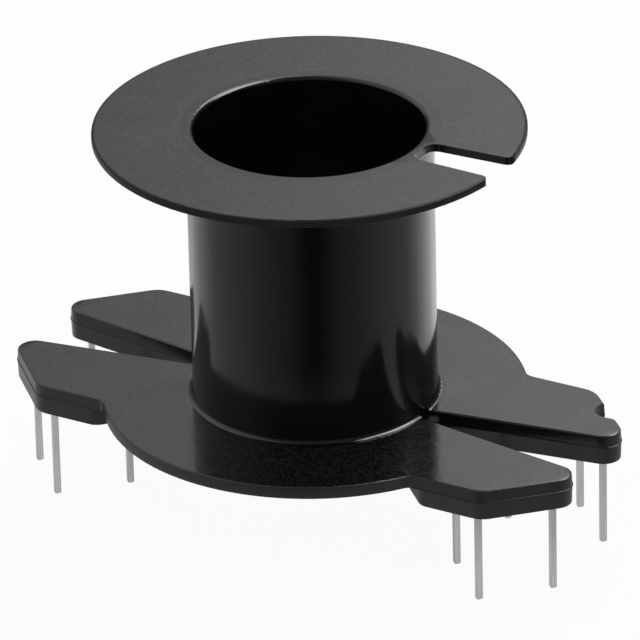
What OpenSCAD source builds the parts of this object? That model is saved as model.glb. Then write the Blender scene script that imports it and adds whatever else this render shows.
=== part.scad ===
// Transformer bobbin for a pot core with a square footprint: a moulded spool
// with a slotted top flange, a thicker base disc with four ears, and twelve
// square solder pins. The bore axis is Z, the wire slots lie along X, and the
// part stands on its pin tips at Z = 0. All sizes are in millimetres.

/* [Spool] */
// Diameter of the thin top flange
flange_d = 28.7; // [26:0.1:32]
// Thickness of the top flange
flange_t = 0.55; // [0.4:0.05:1]
// Diameter of the base disc
disc_d = 28.5; // [26:0.1:32]
// Thickness of the base disc
disc_t = 0.9; // [0.6:0.05:1.4]
// Clear winding height between the disc and the flange
winding_h = 18.8; // [10:0.1:30]
// Diameter of the hole for the core's centre post
bore_d = 15.3; // [13:0.1:16.5]
// Wall of the tube
tube_wall = 0.55; // [0.4:0.05:1]
// Rounding of the upper mouth of the bore
bore_lead = 0.3; // [0.1:0.05:0.5]
// Fillet where the tube meets the flange and the disc
root_fillet = 0.3; // [0.1:0.05:0.6]
// Rounding of the edges of both rims
rim_round = 0.15; // [0.05:0.05:0.2]

/* [Flange slot] */
// Width of the flange's wire slot at its inner end
slot_in_w = 2.6; // [1.6:0.1:4]
// Width of the flange's wire slot at the rim
slot_out_w = 3.1; // [1.6:0.1:5]
// Flange left between the tube and the slot's inner end
slot_inset = 0.12; // [0.05:0.01:0.5]
// Corner radius at the slot's inner end
slot_in_r = 0.8; // [0.3:0.05:0.8]
// Corner radius at the slot's mouth
slot_out_r = 0.55; // [0.2:0.05:1]

/* [Base slots] */
// Width of each V-slot where it meets the tube
vee_in_w = 1.08; // [0.8:0.02:2.4]
// Angle that each side of a V-slot leans away from the slot's axis
vee_angle = 8.5; // [4:0.5:10]

/* [Ears] */
// Height of the ears
ear_h = 2.05; // [1.9:0.05:4]
// Plastic from the outermost pin's axis to the side of an ear
ear_side = 0.98; // [0.7:0.02:2]
// Plastic from a pin's axis to the slanted end of an ear
ear_end = 1.2; // [0.7:0.01:2]
// Plastic from the innermost pin's axis to the inner end of an ear's thick part
ear_inner = 3.85; // [1.5:0.01:4]
// Plastic from a pin's axis to the slanted inner wall of the thick part
ear_slant = 3.33; // [2:0.01:3.6]
// Corner radius at both ends of that wall
inner_r = 1.3; // [0.3:0.1:2]
// Rounding between the side of an ear and the rim of the disc
web_r = 0.9; // [0.4:0.1:1.5]
// Corner radius at the tip of an ear
tip_r = 1.2; // [0.6:0.05:1.5]
// Corner radius between the end and the side of an ear
corner_r = 1.6; // [0.6:0.05:3]
// The same corner radius on the ear with the index notch
index_corner_r = 2; // [0.6:0.05:3]
// Depth of the mould's parting line below the top of an ear
parting_z = 0.84; // [0.5:0.01:1.2]
// How far the walls of an ear lean in from the parting line
ear_draft = 0.04; // [0:0.01:0.1]
// Rounding of the top edges of an ear
edge_r = 0.14; // [0.05:0.01:0.4]
// How far the parting line stands proud of the walls as a fine ridge
ridge_out = 0.04; // [0:0.01:0.1]
// Height of that ridge where it meets the walls
ridge_h = 0.1; // [0.05:0.01:0.1]

/* [Index notch] */
// Radius of the notch in the end of the ear at the first pin
notch_r = 1.15; // [0.5:0.05:1.2]
// Distance of the notch along that end from the footprint's middle
notch_pos = 9.25; // [8.4:0.05:9.4]
// Distance of the notch's axis outside that end
notch_out = 0.15; // [0:0.05:0.5]
// Rounding between the notch and the tip of that ear
notch_lip_r = 1; // [0.3:0.1:1.5]

/* [Pins] */
// Grid of the board holes, which lies at 45 degrees to the wire slots
pitch = 2.54; // [2.4:0.01:2.8]
// Side of the square pins
pin_w = 0.44; // [0.4:0.02:0.8]
// Length of the pins below the ears
pin_out = 6.45; // [3:0.05:10]
// Length of the pins held in the ears
pin_in = 1.6; // [1:0.05:1.7]
// Clearance around a pin in its hole, on each side
pin_clear = 0.01; // [0:0.005:0.05]
// Bevel at the tip of a pin
pin_bevel = 0.1; // [0.02:0.01:0.15]

/* [Hidden] */
$fn = 96;
eps = 0.01;
ear_bottom = pin_out;
base_top = ear_bottom + ear_h;
disc_bottom = base_top - disc_t;
flange_bottom = base_top + winding_h;
flange_top = flange_bottom + flange_t;
bore_r = bore_d / 2;
tube_r = bore_r + tube_wall;
flange_r = flange_d / 2;
disc_r = disc_d / 2;

// Pins of one ear, in cells of the turned grid, and their places in X and Y
pin_cells = [[4.5, 2.5], [6.5, 2.5], [6.5, 4.5]];
pin_places = [for (c = pin_cells) pitch / sqrt(2) * [c[0] + c[1], c[0] - c[1]]];
// The ears in the order of the pin numbers, as signs of X and Y
ears = [[1, 1], [-1, 1], [-1, -1], [1, -1]];
pin_count = len(ears) * len(pin_places);

// Outline of one ear, taken around its pins
ear_half = max([for (p = pin_places) p[1]]) + ear_side;
end_reach = pitch * max([for (c = pin_cells) c[0]]) + ear_end;
inner_x = min([for (p = pin_places) p[0]]) - ear_inner;
slant_x = (pitch * min([for (c = pin_cells) c[1]]) - ear_slant) * sqrt(2);
hidden_x = tube_r * 0.8;
tip_x = (end_reach * sqrt(2) - vee_y(0)) / (1 + tan(vee_angle));
ear_corners = [
    [hidden_x, vee_y(hidden_x)],
    [tip_x, vee_y(tip_x)],
    [end_reach * sqrt(2) - ear_half, ear_half],
    [hidden_x, ear_half]
];
// Heights in an ear, each with how far the outline grows there: a draft both
// ways from the parting line, a ridge along that line and rounded top edges
ridge_z = ear_h - parting_z;
edge_steps = 4;
ear_levels = concat(
    [
        [0, -ear_draft],
        [ridge_z - ridge_h / 2, 0],
        [ridge_z - ridge_h / 5, ridge_out],
        [ridge_z + ridge_h / 5, ridge_out],
        [ridge_z + ridge_h / 2, 0]
    ],
    [for (i = [0 : edge_steps])
        let (a = 90 * i / edge_steps)
        [ear_h - edge_r * (1 - sin(a)), -ear_draft - edge_r * (1 - cos(a))]]
);

// Half the width of a V-slot at a distance from the bore axis
function vee_y(x) = vee_in_w / 2 + (x - tube_r) * tan(vee_angle);

function unit(v) = v / norm(v);

function heading(a) = [cos(a), sin(a)];

// Centre of the arc that rounds corner i of a convex outline
function arc_centre(points, i, r) =
    let (
        n = len(points),
        back = unit(points[(i + n - 1) % n] - points[i]),
        ahead = unit(points[(i + 1) % n] - points[i]),
        half = acos(back * ahead) / 2
    )
    points[i] + unit(back + ahead) * r / sin(half);

// The two points where that arc meets the outline's straight sides
function arc_ends(points, i, r) =
    let (
        n = len(points),
        back = unit(points[(i + n - 1) % n] - points[i]),
        ahead = unit(points[(i + 1) % n] - points[i]),
        run = r / tan(acos(back * ahead) / 2)
    )
    r > 0 ? [points[i] + back * run, points[i] + ahead * run] : [points[i]];

// The points around corner i of that outline, grown outwards by an amount
function corner_points(points, i, r, grow) =
    let (
        n = len(points),
        before = unit(points[i] - points[(i + n - 1) % n]),
        after = unit(points[(i + 1) % n] - points[i]),
        turn = acos(before * after),
        start = atan2(-before[0], before[1]),
        steps = ceil(turn / 12)
    )
    r > 0
        ? [for (k = [0 : steps])
            arc_centre(points, i, r) + (r + grow) * heading(start + turn * k / steps)]
        : [points[i] + grow / cos(turn / 2) * heading(start + turn / 2)];

// A convex outline with its own radius at each corner, 0 for a sharp one
module rounded_outline(points, radii) {
    polygon([for (i = [0 : len(points) - 1]) each arc_ends(points, i, radii[i])]);
    for (i = [0 : len(points) - 1])
        if (radii[i] > 0)
            translate(arc_centre(points, i, radii[i]))
                circle(radii[i]);
}

// Half section of a plate with rounded rim edges, from the axis to radius r
module plate_section(r, t) {
    square([r - rim_round, t]);
    translate([0, rim_round])
        square([r, t - 2 * rim_round]);
    for (y = [rim_round, t - rim_round])
        translate([r - rim_round, y])
            circle(rim_round);
}

// Half section of a fillet of radius r in an inner corner, at the origin
module fillet_section(r) {
    difference() {
        square(r);
        translate([r, r])
            circle(r);
    }
}

// Tube and top flange as one turned shape, still without the bore
module spool() {
    rotate_extrude() {
        translate([0, disc_bottom])
            square([tube_r, flange_top - disc_bottom]);
        translate([0, flange_bottom])
            plate_section(flange_r, flange_t);
        translate([tube_r, base_top])
            fillet_section(root_fillet);
        translate([tube_r, flange_bottom])
            mirror([0, 1])
                fillet_section(root_fillet);
    }
}

// Outline of the flange's wire slot, from near the tube to past the rim
module flange_slot_outline() {
    start_x = tube_r + slot_inset;
    end_x = flange_r + slot_out_r;
    grow = (slot_out_w - slot_in_w) / 2 / (flange_r - start_x);
    start_y = slot_in_w / 2;
    end_y = start_y + grow * (end_x - start_x);
    rounded_outline(
        [[start_x, -start_y], [end_x, -end_y], [end_x, end_y], [start_x, start_y]],
        [slot_in_r, 0, 0, slot_in_r]
    );
    for (side = [0, 1])
        mirror([0, side])
            slot_mouth_corner([start_x, start_y], unit([1, grow]));
}

// What rounds one corner of the slot's mouth: the slot side starts at p and runs along d
module slot_mouth_corner(p, d) {
    n = [-d[1], d[0]];
    q = p + n * slot_out_r;
    reach = flange_r - slot_out_r;
    c = q + d * (sqrt(pow(q * d, 2) - q * q + reach * reach) - q * d);
    side_end = c - n * slot_out_r;
    rim_end = unit(c) * flange_r;
    difference() {
        polygon([
            side_end,
            side_end + (d - n) * slot_out_r,
            side_end + (2 * d + n) * slot_out_r,
            rim_end + unit(c) * slot_out_r,
            rim_end
        ]);
        translate(c)
            circle(slot_out_r);
    }
}

// One V-slot as a plain wedge outline, from the tube to past the ears
module vee_outline() {
    far_x = tip_x + tip_r;
    polygon([
        [hidden_x, -vee_y(hidden_x)],
        [far_x, -vee_y(far_x)],
        [far_x, vee_y(far_x)],
        [hidden_x, vee_y(hidden_x)]
    ]);
}

// The body of an ear: its outline carried up through all its levels
module ear_body(radii) {
    rings = [for (level = ear_levels)
        [for (i = [0 : len(radii) - 1])
            each [for (p = corner_points(ear_corners, i, radii[i], level[1])) [p[0], p[1], level[0]]]]];
    n = len(rings[0]);
    top = (len(rings) - 1) * n;
    polyhedron(
        points = [for (ring = rings) each ring],
        faces = concat(
            [[for (i = [0 : n - 1]) i]],
            [[for (i = [n - 1 : -1 : 0]) top + i]],
            [for (base = [0 : n : top - n], i = [0 : n - 1])
                let (j = (i + 1) % n)
                [base + i, base + n + i, base + n + j, base + j]]
        )
    );
}

// One ear, in the quarter where X and Y are positive, with its underside cut
// back to the disc inside the thick part
module ear(end_corner_r) {
    difference() {
        ear_body([0, tip_r, end_corner_r, 0]);
        translate([0, 0, -eps])
            linear_extrude(ear_h - disc_t + eps)
                inner_relief();
    }
}

// Outline of the relief under the inner part of an ear: what the thick part leaves
module inner_relief() {
    slant_end = slant_x + ear_half;
    difference() {
        translate([0, -eps])
            square([slant_end + inner_r, ear_half + 2 * eps]);
        rounded_outline(
            [
                [inner_x, -2 * eps],
                [slant_end + 2 * inner_r, -2 * eps],
                [slant_end + 2 * inner_r, ear_half],
                [slant_end, ear_half],
                [inner_x, inner_x - slant_x]
            ],
            [0, 0, 0, inner_r, inner_r]
        );
    }
}

// Concave rounding of the corner between an ear's side and the disc's rim, as thick as the disc
module ear_web() {
    // a hair nearer than tangent, so that its ends lie inside the rim and the wall
    off = web_r - eps;
    axis = [sqrt(pow(disc_r + off, 2) - pow(ear_half + off, 2)), ear_half + off];
    on_disc = unit(axis) * disc_r;
    difference() {
        linear_extrude(disc_t)
            polygon([axis, on_disc, on_disc * 0.95, [axis[0], ear_half * 0.9]]);
        translate(axis)
            rotate_extrude()
                web_section();
    }
}

// Half section of what the rounding leaves open, with the edges rounded as on the disc's rim
module web_section() {
    difference() {
        translate([0, -eps])
            square([web_r + rim_round, disc_t + 2 * eps]);
        translate([web_r, rim_round])
            square([2 * rim_round, disc_t - 2 * rim_round]);
        for (y = [rim_round, disc_t - rim_round])
            translate([web_r + rim_round, y])
                circle(rim_round);
    }
}

// Base disc, opened where the ears form the sides of the V-slots
module base_disc() {
    open_half = vee_y(disc_r) + 2 * edge_r;
    difference() {
        translate([0, 0, disc_bottom])
            rotate_extrude()
                plate_section(disc_r, disc_t);
        for (side = [0, 1])
            mirror([side, 0, 0])
                translate([hidden_x, -open_half, disc_bottom - eps])
                    cube([disc_r, 2 * open_half, disc_t + 2 * eps]);
    }
}

// A square bar on the turned grid, standing on Z = 0
module grid_bar(w, h) {
    rotate([0, 0, 45])
        translate([-w / 2, -w / 2, 0])
            cube([w, w, h]);
}

// Puts its children at pin i, counted from 0
module at_pin(i) {
    ear_signs = ears[floor(i / len(pin_places))];
    place = pin_places[i % len(pin_places)];
    translate([ear_signs[0] * place[0], ear_signs[1] * place[1], 0])
        children();
}

module bobbin() {
    color([0.16, 0.16, 0.165])
        difference() {
            union() {
                difference() {
                    spool();
                    translate([0, 0, flange_bottom - root_fillet - eps])
                        linear_extrude(flange_t + root_fillet + 2 * eps)
                            flange_slot_outline();
                    fillet_gaps();
                }
                base_disc();
                for (signs = ears)
                    mirror([signs[0] < 0 ? 1 : 0, 0, 0])
                        mirror([0, signs[1] < 0 ? 1 : 0, 0]) {
                            translate([0, 0, ear_bottom])
                                ear(signs == ears[0] ? index_corner_r : corner_r);
                            translate([0, 0, disc_bottom])
                                ear_web();
                        }
            }
            translate([0, 0, ear_bottom - eps])
                cylinder(r = bore_r, h = flange_top - ear_bottom + 2 * eps);
            bore_mouth();
            index_notch();
            for (i = [0 : pin_count - 1])
                at_pin(i)
                    translate([0, 0, ear_bottom - eps])
                        grid_bar(pin_w + 2 * pin_clear, pin_in + eps);
        }
}

// What rounds the upper mouth of the bore
module bore_mouth() {
    rotate_extrude() {
        translate([bore_r - eps, flange_top])
            square([bore_lead + eps, eps]);
        translate([bore_r - eps, flange_top - bore_lead])
            square([eps, bore_lead]);
        translate([bore_r, flange_top])
            mirror([0, 1])
                fillet_section(bore_lead);
    }
}

// Where the lower fillet is cut away above the V-slots
module fillet_gaps() {
    difference() {
        for (side = [0, 1])
            mirror([side, 0, 0])
                translate([0, 0, base_top - eps])
                    linear_extrude(root_fillet + 2 * eps)
                        vee_outline();
        cylinder(r = tube_r, h = flange_top);
    }
}

// Round notch in the end of the first ear, with a soft lip towards its tip
module index_notch() {
    translate([0, 0, ear_bottom - eps])
        rotate([0, 0, 45])
            linear_extrude(ear_h + 2 * eps)
                notch_outline();
}

// The notch as an outline on the turned grid, where that end is the line X = end_reach
module notch_outline() {
    axis = [end_reach + notch_out, -notch_pos];
    lip_x = end_reach - notch_lip_r;
    lip_run = sqrt(pow(notch_r + notch_lip_r, 2) - pow(axis[0] - lip_x, 2));
    lip = [lip_x, axis[1] - lip_run];
    translate(axis)
        circle(notch_r);
    difference() {
        polygon([
            axis,
            axis + unit(lip - axis) * notch_r,
            [end_reach, lip[1]],
            [end_reach + notch_out + ridge_out, lip[1]]
        ]);
        translate(lip)
            circle(notch_lip_r);
    }
}

// One pin, with a bevel on all four sides of its tip
module pin(i) {
    pin_l = pin_out + pin_in;
    half = pin_w / 2;
    side = [
        [-half, pin_bevel], [pin_bevel - half, 0], [half - pin_bevel, 0],
        [half, pin_bevel], [half, pin_l], [-half, pin_l]
    ];
    color([0.75, 0.75, 0.74])
        at_pin(i)
            rotate([0, 0, 45])
                intersection_for(turn = [0, 90])
                    rotate([90, 0, turn])
                        linear_extrude(2 * pin_w, center = true)
                            polygon(side);
}

bobbin();
for (i = [0 : pin_count - 1])
    pin(i);
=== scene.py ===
import math

import bmesh
import bpy
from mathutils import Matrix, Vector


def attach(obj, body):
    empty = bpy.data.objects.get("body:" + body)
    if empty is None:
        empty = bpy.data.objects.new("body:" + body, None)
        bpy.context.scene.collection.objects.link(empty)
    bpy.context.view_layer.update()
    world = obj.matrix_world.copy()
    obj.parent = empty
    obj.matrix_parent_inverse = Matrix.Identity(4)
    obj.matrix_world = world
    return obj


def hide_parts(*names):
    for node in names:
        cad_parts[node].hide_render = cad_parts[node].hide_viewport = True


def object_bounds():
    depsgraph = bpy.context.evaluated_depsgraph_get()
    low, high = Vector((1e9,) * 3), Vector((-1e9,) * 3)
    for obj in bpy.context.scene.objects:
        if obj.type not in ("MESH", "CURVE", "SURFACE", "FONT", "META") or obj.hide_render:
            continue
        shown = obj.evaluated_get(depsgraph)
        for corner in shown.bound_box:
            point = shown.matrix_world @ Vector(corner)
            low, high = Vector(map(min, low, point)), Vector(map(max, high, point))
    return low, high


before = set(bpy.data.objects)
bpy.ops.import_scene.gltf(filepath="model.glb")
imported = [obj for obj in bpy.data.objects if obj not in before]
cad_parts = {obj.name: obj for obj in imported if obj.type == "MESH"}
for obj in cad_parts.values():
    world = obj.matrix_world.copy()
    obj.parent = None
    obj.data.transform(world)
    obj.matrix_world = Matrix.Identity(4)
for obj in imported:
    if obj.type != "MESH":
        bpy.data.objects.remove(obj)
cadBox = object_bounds()
print("frame loaded:", len(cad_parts), "nodes")

mm = 0.001
scene = bpy.context.scene
scene.view_settings.view_transform = "Standard"


def linear(code):  # sRGB hex to linear RGBA
    parts = [int(code[i:i + 2], 16) / 255 for i in (1, 3, 5)]
    return [p / 12.92 if p <= 0.04045 else ((p + 0.055) / 1.055) ** 2.4 for p in parts] + [1.0]


# links and values go by the socket's name, with _ for a space, or by its number, as in n0
def addNode(tree, kind, settings=None, **links):
    node = tree.nodes.new(kind)
    for name, value in (settings or {}).items():
        if name == "stops":  # places and grey levels of a colour ramp
            steps = node.color_ramp.elements
            while len(steps) < len(value):
                steps.new(0.5)
            for step, (spot, level) in zip(steps, value):
                step.position = spot
                step.color = (level, level, level, 1)
        else:
            setattr(node, name, value)
    for name, value in links.items():
        numbered = name[0] == "n" and name[1:].isdigit()
        socket = node.inputs[int(name[1:]) if numbered else name.replace("_", " ")]
        if isinstance(value, bpy.types.NodeSocket):
            tree.links.new(value, socket)
        else:
            socket.default_value = value
    return node


def newMaterial(name):
    material = bpy.data.materials.new(name)
    material.use_nodes = True
    material.node_tree.nodes.clear()
    return material, material.node_tree


mouldingLook = {
    "corePigment": ("#0a0a0b", "#121213"),  # carbon black under polish, slightly uneven
    "facePigment": ("#0b0b0c", "#28282a"),  # faces show specks of the filler
    "wallPigment": ("#232223", "#2c2b2c"),  # painted sheen: ear walls lighter in colour than the faces, for the light their rough finish scatters
    "ior": 1.5,
    "gloss": 0.5,                           # the usual specular level
    "cloudMm": 3.0,                         # flow clouding of the filled resin
    "cloudFrom": (0.3, 0.7),                # noise levels that the roughness follows
    "roughnessSpread": 0.04,                # up and down from the values below
    "coreRoughness": 0.14,                  # tube, from polished mould cores
    "faceRoughness": 0.17,                  # flange face
    "baseRoughness": 0.16,                  # disc and ear faces
    "wallRoughness": 0.36,                  # drafted ear walls and rims, spark-eroded
    "tubeMm": (8.55, 8.75),                 # radius where the tube's foot ends and the disc starts
    "baseTopMm": 9.0,                       # the base lies below this height
    "levelFrom": (0.75, 0.97),              # upward share of the normal, from wall to face
    "slotHalfMm": (2.3, 3.6),               # slot walls, from a polished blade, end this far out
    "edgeRoughness": 0.4,                   # the flange's outer edge is dull
    "edgeGloss": 0.12,                      # and mirrors less
    "edgeMm": (14.08, 14.2),                # radius where that starts and where it is full
    "ridgeGloss": 0.25,                     # so does the worn parting ridge of the ears
    "ridgeMm": (7.66, 0.05, 0.07),          # its height, and how far from there it is full and ends
    "grainMm": 0.22,                        # real grain is about 0.05, drawn coarser so it shows
    "grainHeightMm": 0.0035,
    "speckFrom": (0.38, 0.62),              # grain levels that the specks follow
    "scuffMm": (0.12, 3.0),                 # handling marks on the base: width and length
    "scuffTurn": 79,                        # their direction, in degrees
    "scuffFrom": (0.68, 0.8),               # noise level where a mark starts and where it is full
    "scuffRoughness": 0.1,
    "seamHalfMm": 0.05,                     # witness line of the two side slides
    "seamHeightMm": 0.008,
    "seamFromMm": 8.0,                      # radius inside the tube's wall, so none in the bore
    "seamTopMm": 27.3,                      # a plate moulds the flange face, so no line there
    "smoothAngle": 32,                      # edges flatter than this, in degrees, shade smoothly
    "faceWeight": 80,                       # large faces lead the shading at rounded edges
}


# glass filled PBT, injection moulded: near black, glossy where the tool is polished
def makeMoulding(look):
    material, tree = newMaterial("mouldedBlackPbt")
    where = addNode(tree, "ShaderNodeTexCoord").outputs["Object"]
    place = addNode(tree, "ShaderNodeVectorMath", {"operation": "SCALE"}, Vector=where,
                    Scale=1 / mm).outputs[0]
    axes = addNode(tree, "ShaderNodeSeparateXYZ", Vector=place)
    x, y, z = axes.outputs
    plan = addNode(tree, "ShaderNodeCombineXYZ", X=x, Y=y).outputs[0]
    radius = addNode(tree, "ShaderNodeVectorMath", {"operation": "LENGTH"},
                     Vector=plan).outputs["Value"]

    # where the tube ends, and which of the rest is wall, slot wall or face
    offTube = addNode(tree, "ShaderNodeMapRange", {"interpolation_type": "SMOOTHSTEP"}, Value=radius,
                      From_Min=look["tubeMm"][0], From_Max=look["tubeMm"][1]).outputs[0]
    geometry = addNode(tree, "ShaderNodeNewGeometry")
    facing = addNode(tree, "ShaderNodeSeparateXYZ", Vector=geometry.outputs["Normal"])
    level = addNode(tree, "ShaderNodeMath", {"operation": "ABSOLUTE"},
                    n0=facing.outputs[2]).outputs[0]
    upright = addNode(tree, "ShaderNodeMapRange", Value=level, From_Min=look["levelFrom"][0],
                      From_Max=look["levelFrom"][1], To_Min=1.0, To_Max=0.0).outputs[0]
    aside = addNode(tree, "ShaderNodeMath", {"operation": "ABSOLUTE"}, n0=y).outputs[0]
    offSlot = addNode(tree, "ShaderNodeMapRange", Value=aside, From_Min=look["slotHalfMm"][0],
                      From_Max=look["slotHalfMm"][1]).outputs[0]
    onSide = addNode(tree, "ShaderNodeMath", {"operation": "MULTIPLY"}, n0=upright,
                     n1=offTube).outputs[0]
    onWall = addNode(tree, "ShaderNodeMath", {"operation": "MULTIPLY"}, n0=onSide,
                     n1=offSlot).outputs[0]
    inSlot = addNode(tree, "ShaderNodeMath", {"operation": "SUBTRACT"}, n0=onSide,
                     n1=onWall).outputs[0]
    grained = addNode(tree, "ShaderNodeMath", {"operation": "SUBTRACT"}, n0=offTube,
                      n1=inSlot).outputs[0]
    base = addNode(tree, "ShaderNodeMath", {"operation": "LESS_THAN"}, n0=z,
                   n1=look["baseTopMm"]).outputs[0]

    # clouds, grain and handling marks
    cloud = addNode(tree, "ShaderNodeTexNoise", Vector=place, Scale=1 / look["cloudMm"],
                    Detail=3.0).outputs[0]
    grain = addNode(tree, "ShaderNodeTexNoise", Vector=place, Scale=1 / look["grainMm"],
                    Detail=2.0).outputs[0]
    speck = addNode(tree, "ShaderNodeMapRange", Value=grain, From_Min=look["speckFrom"][0],
                    From_Max=look["speckFrom"][1]).outputs[0]
    turned = addNode(tree, "ShaderNodeMapping", Vector=place,
                     Rotation=(0, 0, math.radians(look["scuffTurn"]))).outputs[0]
    width, length = look["scuffMm"]
    drawn = addNode(tree, "ShaderNodeMapping", Vector=turned,
                    Scale=(1 / length, 1 / width, 1 / length)).outputs[0]
    marks = addNode(tree, "ShaderNodeTexNoise", Vector=drawn, Scale=1.0, Detail=1.0).outputs[0]
    scuff = addNode(tree, "ShaderNodeMapRange", Value=marks, From_Min=look["scuffFrom"][0],
                    From_Max=look["scuffFrom"][1]).outputs[0]
    scuffThere = addNode(tree, "ShaderNodeMath", {"operation": "MULTIPLY"}, n0=scuff,
                         n1=base).outputs[0]

    # colour, with a painted sheen on the ear walls outside the slots
    core = addNode(tree, "ShaderNodeMix", {"data_type": "RGBA"}, n0=cloud,
                   n6=linear(look["corePigment"][0]), n7=linear(look["corePigment"][1])).outputs[2]
    specked = addNode(tree, "ShaderNodeMix", {"data_type": "RGBA"}, n0=speck,
                      n6=linear(look["facePigment"][0]),
                      n7=linear(look["facePigment"][1])).outputs[2]
    face = addNode(tree, "ShaderNodeMix", {"data_type": "RGBA"}, n0=grained, n6=core,
                   n7=specked).outputs[2]
    # painted sheen: the ear walls get a lighter colour than faces and slot walls
    wall = addNode(tree, "ShaderNodeMix", {"data_type": "RGBA"}, n0=cloud,
                   n6=linear(look["wallPigment"][0]), n7=linear(look["wallPigment"][1])).outputs[2]
    colour = addNode(tree, "ShaderNodeMix", {"data_type": "RGBA"}, n0=onWall, n6=face,
                     n7=wall).outputs[2]

    # gloss, less on the flange's edge and on the parting ridge
    outer = addNode(tree, "ShaderNodeMapRange", Value=radius, From_Min=look["edgeMm"][0],
                    From_Max=look["edgeMm"][1]).outputs[0]
    onEdge = addNode(tree, "ShaderNodeMath", {"operation": "SUBTRACT", "use_clamp": True}, n0=outer,
                     n1=base).outputs[0]
    ridgeHeight, ridgeFull, ridgeEnd = look["ridgeMm"]
    aboveRidge = addNode(tree, "ShaderNodeMath", {"operation": "SUBTRACT"}, n0=z,
                         n1=ridgeHeight).outputs[0]
    offRidge = addNode(tree, "ShaderNodeMath", {"operation": "ABSOLUTE"}, n0=aboveRidge).outputs[0]
    ridge = addNode(tree, "ShaderNodeMapRange", Value=offRidge, From_Min=ridgeFull,
                    From_Max=ridgeEnd, To_Min=1.0, To_Max=0.0).outputs[0]
    onRidge = addNode(tree, "ShaderNodeMath", {"operation": "MULTIPLY"}, n0=ridge,
                      n1=offTube).outputs[0]
    edgeGloss = addNode(tree, "ShaderNodeMapRange", Value=onEdge, To_Min=look["gloss"],
                        To_Max=look["edgeGloss"]).outputs[0]
    gloss = addNode(tree, "ShaderNodeMix", {"data_type": "FLOAT"}, n0=onRidge, n2=edgeGloss,
                    n3=look["ridgeGloss"]).outputs[0]

    # roughness
    faceFinish = addNode(tree, "ShaderNodeMapRange", Value=base, To_Min=look["faceRoughness"],
                         To_Max=look["baseRoughness"]).outputs[0]
    polish = addNode(tree, "ShaderNodeMapRange", Value=offTube, To_Min=look["coreRoughness"],
                     To_Max=faceFinish).outputs[0]
    finish = addNode(tree, "ShaderNodeMix", {"data_type": "FLOAT"}, n0=onWall, n2=polish,
                     n3=look["wallRoughness"]).outputs[0]
    dulled = addNode(tree, "ShaderNodeMix", {"data_type": "FLOAT"}, n0=onEdge, n2=finish,
                     n3=look["edgeRoughness"]).outputs[0]
    drift = addNode(tree, "ShaderNodeMapRange", Value=cloud, From_Min=look["cloudFrom"][0],
                    From_Max=look["cloudFrom"][1], To_Min=-look["roughnessSpread"],
                    To_Max=look["roughnessSpread"]).outputs[0]
    uneven = addNode(tree, "ShaderNodeMath", {"operation": "ADD"}, n0=dulled, n1=drift).outputs[0]
    roughness = addNode(tree, "ShaderNodeMath", {"operation": "MULTIPLY_ADD"}, n0=scuffThere,
                        n1=look["scuffRoughness"], n2=uneven).outputs[0]

    # witness line of the slides, outside the bore and below the flange's face, over the grain
    across = addNode(tree, "ShaderNodeMath", {"operation": "ABSOLUTE"}, n0=x).outputs[0]
    seam = addNode(tree, "ShaderNodeMapRange", {"interpolation_type": "SMOOTHSTEP"}, Value=across,
                   From_Max=look["seamHalfMm"], To_Min=look["seamHeightMm"], To_Max=0.0).outputs[0]
    outside = addNode(tree, "ShaderNodeMath", {"operation": "GREATER_THAN"}, n0=radius,
                      n1=look["seamFromMm"]).outputs[0]
    below = addNode(tree, "ShaderNodeMath", {"operation": "LESS_THAN"}, n0=z,
                    n1=look["seamTopMm"]).outputs[0]
    seamThere = addNode(tree, "ShaderNodeMath", {"operation": "MULTIPLY"}, n0=outside,
                        n1=below).outputs[0]
    seamHeight = addNode(tree, "ShaderNodeMath", {"operation": "MULTIPLY"}, n0=seam,
                         n1=seamThere).outputs[0]
    grainDepth = addNode(tree, "ShaderNodeMath", {"operation": "MULTIPLY"}, n0=grained,
                         n1=look["grainHeightMm"]).outputs[0]
    height = addNode(tree, "ShaderNodeMath", {"operation": "MULTIPLY_ADD"}, n0=grain, n1=grainDepth,
                     n2=seamHeight).outputs[0]
    bump = addNode(tree, "ShaderNodeBump", Strength=1.0, Distance=mm, Height=height).outputs[0]

    shader = addNode(tree, "ShaderNodeBsdfPrincipled", Base_Color=colour, Roughness=roughness,
                     IOR=look["ior"], Specular_IOR_Level=gloss, Normal=bump)
    addNode(tree, "ShaderNodeOutputMaterial", Surface=shader.outputs[0])
    return material


pinLook = {
    "tin": ("#b2b1af", "#fdfcfa"),  # bright tin, streaked along the wire
    "roughness": (0.22, 0.4),
    "streakMm": (0.11, 2.5),        # drawing lines: width, the real 0.03 drawn coarser, and length
    "streakFrom": (0.3, 0.7),       # noise levels that the roughness follows
    "streakHeightMm": 0.0012,
    "edgeMm": 0.05,                 # drawn square wire has soft edges
    "edgeSegments": 2,
    "edgeAngle": 50,                # edges flatter than this, in degrees, stay as they are
    "smoothAngle": 40,              # and those flatter than this shade smoothly
}


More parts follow.
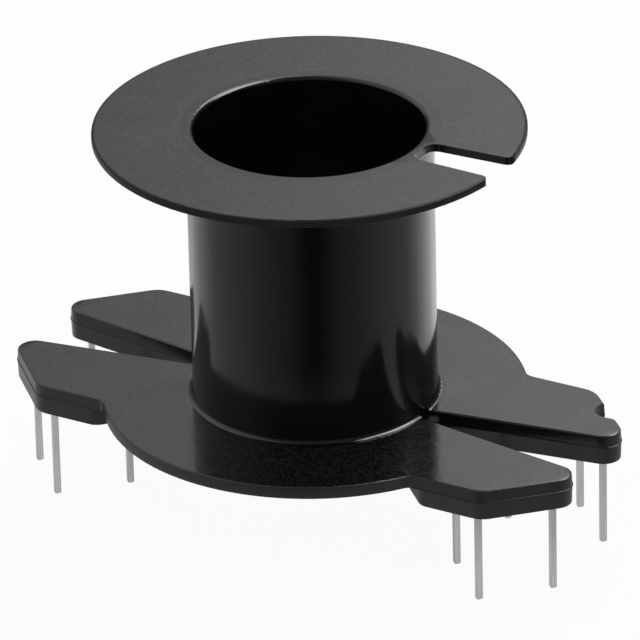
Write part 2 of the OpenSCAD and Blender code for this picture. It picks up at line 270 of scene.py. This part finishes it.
# tinned wire, drawn square: satin metal with fine lines along its length
def makeTin(look):
    material, tree = newMaterial("tinnedDrawnWire")
    where = addNode(tree, "ShaderNodeTexCoord").outputs["Object"]
    width, length = [v * mm for v in look["streakMm"]]
    drawn = addNode(tree, "ShaderNodeMapping", Vector=where,
                    Scale=(1 / width, 1 / width, 1 / length)).outputs[0]
    streak = addNode(tree, "ShaderNodeTexNoise", Vector=drawn, Scale=1.0, Detail=3.0).outputs[0]
    colour = addNode(tree, "ShaderNodeMix", {"data_type": "RGBA"}, n0=streak,
                     n6=linear(look["tin"][0]), n7=linear(look["tin"][1])).outputs[2]
    roughness = addNode(tree, "ShaderNodeMapRange", Value=streak, From_Min=look["streakFrom"][0],
                        From_Max=look["streakFrom"][1], To_Min=look["roughness"][0],
                        To_Max=look["roughness"][1]).outputs[0]
    height = addNode(tree, "ShaderNodeMath", {"operation": "MULTIPLY"}, n0=streak,
                     n1=look["streakHeightMm"]).outputs[0]
    bump = addNode(tree, "ShaderNodeBump", Strength=1.0, Distance=mm, Height=height).outputs[0]
    shader = addNode(tree, "ShaderNodeBsdfPrincipled", Base_Color=colour, Metallic=1.0,
                     Roughness=roughness, Normal=bump)
    addNode(tree, "ShaderNodeOutputMaterial", Surface=shader.outputs[0])
    return material


moulding = makeMoulding(mouldingLook)
tin = makeTin(pinLook)
print("materials made")

mergeMm = 0.0005  # the CAD meshes are loose triangles, joined within this distance


# pieces are merged copies of the CAD meshes, so that rounded edges shade smoothly
def dressNode(node, name, material, smoothAngle):
    bm = bmesh.new()
    bm.from_mesh(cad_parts[node].data)
    bmesh.ops.remove_doubles(bm, verts=bm.verts, dist=mergeMm * mm)
    mesh = bpy.data.meshes.new(name)
    bm.to_mesh(mesh)
    bm.free()
    if "custom_normal" in mesh.attributes:
        mesh.attributes.remove(mesh.attributes["custom_normal"])
    mesh.shade_smooth()
    mesh.set_sharp_from_angle(angle=math.radians(smoothAngle))
    mesh.materials.append(material)
    piece = bpy.data.objects.new(name, mesh)
    scene.collection.objects.link(piece)
    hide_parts(node)
    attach(piece, "root")
    return piece


bobbinSkin = dressNode("bobbin", "bobbinMoulding", moulding, mouldingLook["smoothAngle"])
even = bobbinSkin.modifiers.new("evenNormals", "WEIGHTED_NORMAL")
even.keep_sharp = True
even.weight = mouldingLook["faceWeight"]

pinNodes = [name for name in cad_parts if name.startswith("pin_")]
pinNodes.sort(key=lambda name: int(name.split("_")[1]))
for pinNode in pinNodes:
    pieceName = "solder" + pinNode.title().replace("_", "")
    wire = dressNode(pinNode, pieceName, tin, pinLook["smoothAngle"])
    soften = wire.modifiers.new("wireEdge", "BEVEL")
    soften.width = pinLook["edgeMm"] * mm
    soften.segments = pinLook["edgeSegments"]
    soften.limit_method = "ANGLE"
    soften.angle_limit = math.radians(pinLook["edgeAngle"])
print("pieces dressed:", 1 + len(pinNodes))

# camera from the fit of flange, tube, ears and pin tips to the photo
cameraSet = {
    "placeMm": (212.778, -368.598, 227.590),
    "turnDeg": (63.2946, 1.1810, 29.3473),
    "lensMm": 402.557,
    "sensorMm": 36,
    "clipM": (0.05, 20),
}
cameraData = bpy.data.cameras.new("photoCamera")
cameraData.lens = cameraSet["lensMm"]
cameraData.sensor_width = cameraSet["sensorMm"]
cameraData.clip_start, cameraData.clip_end = cameraSet["clipM"]
camera = bpy.data.objects.new("photoCamera", cameraData)
camera.location = [v * mm for v in cameraSet["placeMm"]]
camera.rotation_euler = [math.radians(v) for v in cameraSet["turnDeg"]]
scene.collection.objects.link(camera)
scene.camera = camera
print("camera set")

# white paper, seen as white by the camera; in the gloss it glows with painted light, paler behind the
# part than before it, and a painted shadow below the part
stageSet = {
    "paper": "#d8d8d8",
    "whiteShare": 0.95,               # how far the camera sees it as white, the rest keeps the shadow
    "sheetMm": 3000,
    "backwards": (-0.5, 0.866, 0.0),  # level direction away from the camera
    "sideways": (0.866, 0.5, 0.0),    # and to the right
    # painted light and shade in the gloss, from before the part (0) to behind it (1)
    "glow": ((0.0, 0.02), (0.0075, 0.06), (0.018, 0.125), (0.035, 0.17), (0.07, 0.22), (0.25, 0.43),
             (0.5, 0.53), (0.59, 0.66), (0.675, 0.9), (0.75, 1.0), (0.885, 1.17), (0.915, 0.88),
             (1.0, 0.78)),
    "rightGain": 0.4,                 # painted light: how much brighter it is behind on the right
    "under": 0.4,                     # painted shadow of the part below it, in the gloss
    "underMm": (8, 17),               # radius where that ends and where the next starts
    "near": 0.57,                     # painted light close to the part, in the gloss
    "nearMm": (24, 34),               # where that starts to fade and where it ends
}


def makeFloor(look):
    material, tree = newMaterial("whitePaperSweep")
    where = addNode(tree, "ShaderNodeTexCoord").outputs["Object"]
    # painted light and shade on the paper, by direction and distance from the part, seen by the gloss
    # only
    way = addNode(tree, "ShaderNodeVectorMath", {"operation": "NORMALIZE"}, Vector=where).outputs[0]
    back = addNode(tree, "ShaderNodeVectorMath", {"operation": "DOT_PRODUCT"}, n0=way,
                   n1=look["backwards"]).outputs["Value"]
    side = addNode(tree, "ShaderNodeVectorMath", {"operation": "DOT_PRODUCT"}, n0=way,
                   n1=look["sideways"]).outputs["Value"]
    turn = addNode(tree, "ShaderNodeMapRange", Value=back, From_Min=-1.0, From_Max=1.0).outputs[0]
    ramp = addNode(tree, "ShaderNodeValToRGB", {"stops": look["glow"]}, Fac=turn).outputs[0]
    behind = addNode(tree, "ShaderNodeMath", {"operation": "MAXIMUM"}, n0=back, n1=0.0).outputs[0]
    right = addNode(tree, "ShaderNodeMath", {"operation": "MULTIPLY"}, n0=behind, n1=side).outputs[0]
    far = addNode(tree, "ShaderNodeMath", {"operation": "MULTIPLY_ADD"}, n0=right,
                  n1=look["rightGain"], n2=ramp).outputs[0]
    reach = addNode(tree, "ShaderNodeVectorMath", {"operation": "LENGTH"},
                    Vector=where).outputs["Value"]
    paintedShadowBelow = addNode(tree, "ShaderNodeMapRange", {"interpolation_type": "SMOOTHSTEP"}, Value=reach,
                    From_Min=look["underMm"][0] * mm, From_Max=look["underMm"][1] * mm,
                    To_Min=look["under"], To_Max=look["near"]).outputs[0]
    glow = addNode(tree, "ShaderNodeMapRange", {"interpolation_type": "SMOOTHSTEP"}, Value=reach,
                   From_Min=look["nearMm"][0] * mm, From_Max=look["nearMm"][1] * mm, To_Min=paintedShadowBelow,
                   To_Max=far).outputs[0]
    rays = addNode(tree, "ShaderNodeLightPath")
    paper = addNode(tree, "ShaderNodeBsdfDiffuse", Color=linear(look["paper"]))
    white = addNode(tree, "ShaderNodeEmission", Color=(1, 1, 1, 1), Strength=1.0)
    # the paper glows with this painted light and shadow for glossy rays
    paintedGlossLight = addNode(tree, "ShaderNodeEmission", Color=(1, 1, 1, 1), Strength=glow)
    seen = addNode(tree, "ShaderNodeMath", {"operation": "MULTIPLY"},
                   n0=rays.outputs["Is Camera Ray"], n1=look["whiteShare"]).outputs[0]
    forCamera = addNode(tree, "ShaderNodeMixShader", n0=seen, n1=paper.outputs[0],
                        n2=white.outputs[0])
    forGloss = addNode(tree, "ShaderNodeMixShader", n0=rays.outputs["Is Glossy Ray"],
                       n1=forCamera.outputs[0], n2=paintedGlossLight.outputs[0])
    addNode(tree, "ShaderNodeOutputMaterial", Surface=forGloss.outputs[0])
    bm = bmesh.new()
    bmesh.ops.create_grid(bm, x_segments=2, y_segments=2, size=look["sheetMm"] * mm / 2)
    mesh = bpy.data.meshes.new("paperSweep")
    bm.to_mesh(mesh)
    bm.free()
    mesh.materials.append(material)
    floor = bpy.data.objects.new("paperSweep", mesh)
    scene.collection.objects.link(floor)


makeFloor(stageSet)

roomSet = {
    "ambient": 0.5,         # soft light from all round
    "front": 0.22,          # what gloss sees above the camera
    "behind": (-0.1, 0.5),  # backward share of the direction, from there to the wall behind
    # pale wall behind the part as gloss sees it, from left (0) to right (1)
    "wall": ((0.15, 0.18), (0.29, 0.32), (0.44, 0.54), (0.485, 0.57), (0.52, 1.2), (0.55, 1.1),
             (0.61, 0.75), (0.725, 0.35), (0.85, 0.15)),
    "climb": ((0.3, 0.35), (0.55, 1.6)),  # its share low and high, by the sine of the height
    # soft boxes as gloss sees them: direction, cosines where one starts and is full, brightness
    "boxes": (
        {"way": (0.442, 0.394, 0.805), "from": 0.905, "full": 0.97, "level": 10.0},
        {"way": (-0.728, -0.243, 0.64), "from": 0.5, "full": 0.95, "level": 0.75},
        {"way": (-0.088, 0.715, 0.693), "from": 0.965, "full": 0.995, "level": 5.0},
    ),
}


def makeRoom(look):
    world = bpy.data.worlds.new("studioRoom")
    scene.world = world
    world.use_nodes = True
    tree = world.node_tree
    tree.nodes.clear()
    way = addNode(tree, "ShaderNodeTexCoord").outputs["Generated"]
    back = addNode(tree, "ShaderNodeVectorMath", {"operation": "DOT_PRODUCT"}, n0=way,
                   n1=stageSet["backwards"]).outputs["Value"]
    side = addNode(tree, "ShaderNodeVectorMath", {"operation": "DOT_PRODUCT"}, n0=way,
                   n1=stageSet["sideways"]).outputs["Value"]
    across = addNode(tree, "ShaderNodeMapRange", Value=side, From_Min=-1.0, From_Max=1.0).outputs[0]
    wall = addNode(tree, "ShaderNodeValToRGB", {"stops": look["wall"]}, Fac=across).outputs[0]
    height = addNode(tree, "ShaderNodeSeparateXYZ", Vector=way).outputs[2]
    low, high = look["climb"]
    climb = addNode(tree, "ShaderNodeMapRange", Value=height, From_Min=low[0], From_Max=high[0],
                    To_Min=low[1], To_Max=high[1]).outputs[0]
    shaded = addNode(tree, "ShaderNodeMath", {"operation": "MULTIPLY"}, n0=wall, n1=climb).outputs[0]
    behind = addNode(tree, "ShaderNodeMapRange", Value=back, From_Min=look["behind"][0],
                     From_Max=look["behind"][1]).outputs[0]
    glow = addNode(tree, "ShaderNodeMix", {"data_type": "FLOAT"}, n0=behind, n2=look["front"],
                   n3=shaded).outputs[0]
    for box in look["boxes"]:
        near = addNode(tree, "ShaderNodeVectorMath", {"operation": "DOT_PRODUCT"}, n0=way,
                       n1=box["way"]).outputs["Value"]
        patch = addNode(tree, "ShaderNodeMapRange", {"interpolation_type": "SMOOTHSTEP"}, Value=near,
                        From_Min=box["from"], From_Max=box["full"], To_Max=box["level"]).outputs[0]
        glow = addNode(tree, "ShaderNodeMath", {"operation": "ADD"}, n0=glow, n1=patch).outputs[0]
    rays = addNode(tree, "ShaderNodeLightPath")
    soft = addNode(tree, "ShaderNodeBackground", Color=(1, 1, 1, 1), Strength=look["ambient"])
    bright = addNode(tree, "ShaderNodeBackground", Color=(1, 1, 1, 1), Strength=glow)
    white = addNode(tree, "ShaderNodeBackground", Color=(1, 1, 1, 1), Strength=1.0)
    forGloss = addNode(tree, "ShaderNodeMixShader", n0=rays.outputs["Is Glossy Ray"],
                       n1=soft.outputs[0], n2=bright.outputs[0])
    forCamera = addNode(tree, "ShaderNodeMixShader", n0=rays.outputs["Is Camera Ray"],
                        n1=forGloss.outputs[0], n2=white.outputs[0])
    addNode(tree, "ShaderNodeOutputWorld", Surface=forCamera.outputs[0])


makeRoom(roomSet)

# one large soft lamp, behind and above, a little to the right
lampSet = {
    "placeMm": (-60, 486, 471),
    "sizeMm": 200,
    "watts": 2.6,
}
lampData = bpy.data.lights.new("softBox", "AREA")
lampData.shape = "SQUARE"
lampData.size = lampSet["sizeMm"] * mm
lampData.energy = lampSet["watts"]
lamp = bpy.data.objects.new("softBox", lampData)
lamp.location = [v * mm for v in lampSet["placeMm"]]
lamp.visible_glossy = False  # gloss sees the soft boxes of the room in its place
middle = (cadBox[0] + cadBox[1]) / 2
lamp.rotation_euler = (middle - lamp.location).to_track_quat("-Z", "Y").to_euler()
scene.collection.objects.link(lamp)
print("stage, room and lamp set")
